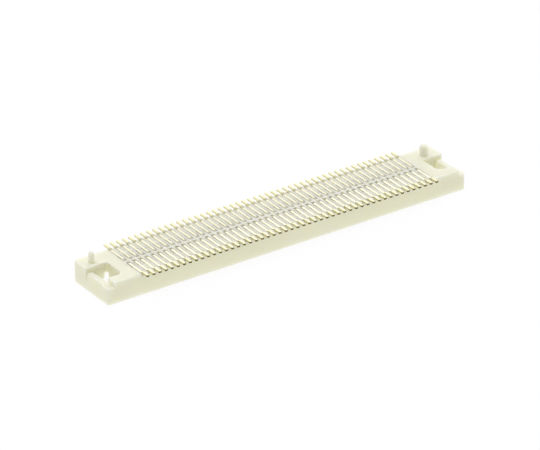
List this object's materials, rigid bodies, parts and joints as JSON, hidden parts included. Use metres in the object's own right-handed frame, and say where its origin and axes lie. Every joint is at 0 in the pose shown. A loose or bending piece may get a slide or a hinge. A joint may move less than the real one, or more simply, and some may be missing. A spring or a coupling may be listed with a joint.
{
  "type": "board-to-board socket",
  "caption": "Low ivory connector strip with rows of gold solder tails, two locating pegs and a recessed contact comb that joins parallel circuit boards.",
  "frame": {"origin": "on the mating rim, under the middle of the part, which lies with its solder side up", "axes": "+X along the contact rows, +Y across them towards the pegs, +Z towards the circuit board"},
  "size_m": [0.0364, 0.0066, 0.003],
  "materials": {
    "ivory_resin": "satin moulded",
    "gold_plating": "plated, satin"
  },
  "bodies": {
    "root": {"housing": "ivory_resin", "contact_pair_01": "gold_plating", "contact_pair_02": "gold_plating", "contact_pair_03": "gold_plating", "contact_pair_04": "gold_plating", "contact_pair_05": "gold_plating", "contact_pair_06": "gold_plating", "contact_pair_07": "gold_plating", "contact_pair_08": "gold_plating", "contact_pair_09": "gold_plating", "contact_pair_10": "gold_plating", "contact_pair_11": "gold_plating", "contact_pair_12": "gold_plating", "contact_pair_13": "gold_plating", "contact_pair_14": "gold_plating", "contact_pair_15": "gold_plating", "contact_pair_16": "gold_plating", "contact_pair_17": "gold_plating", "contact_pair_18": "gold_plating", "contact_pair_19": "gold_plating", "contact_pair_20": "gold_plating", "contact_pair_21": "gold_plating", "contact_pair_22": "gold_plating", "contact_pair_23": "gold_plating", "contact_pair_24": "gold_plating", "contact_pair_25": "gold_plating", "contact_pair_26": "gold_plating", "contact_pair_27": "gold_plating", "contact_pair_28": "gold_plating", "contact_pair_29": "gold_plating", "contact_pair_30": "gold_plating", "contact_pair_31": "gold_plating", "contact_pair_32": "gold_plating", "contact_pair_33": "gold_plating", "contact_pair_34": "gold_plating", "contact_pair_35": "gold_plating", "contact_pair_36": "gold_plating", "contact_pair_37": "gold_plating", "contact_pair_38": "gold_plating", "contact_pair_39": "gold_plating", "contact_pair_40": "gold_plating", "contact_pair_41": "gold_plating", "contact_pair_42": "gold_plating", "contact_pair_43": "gold_plating", "contact_pair_44": "gold_plating", "contact_pair_45": "gold_plating", "contact_pair_46": "gold_plating", "contact_pair_47": "gold_plating", "contact_pair_48": "gold_plating", "contact_pair_49": "gold_plating", "contact_pair_50": "gold_plating"}
  },
  "joints": []
}
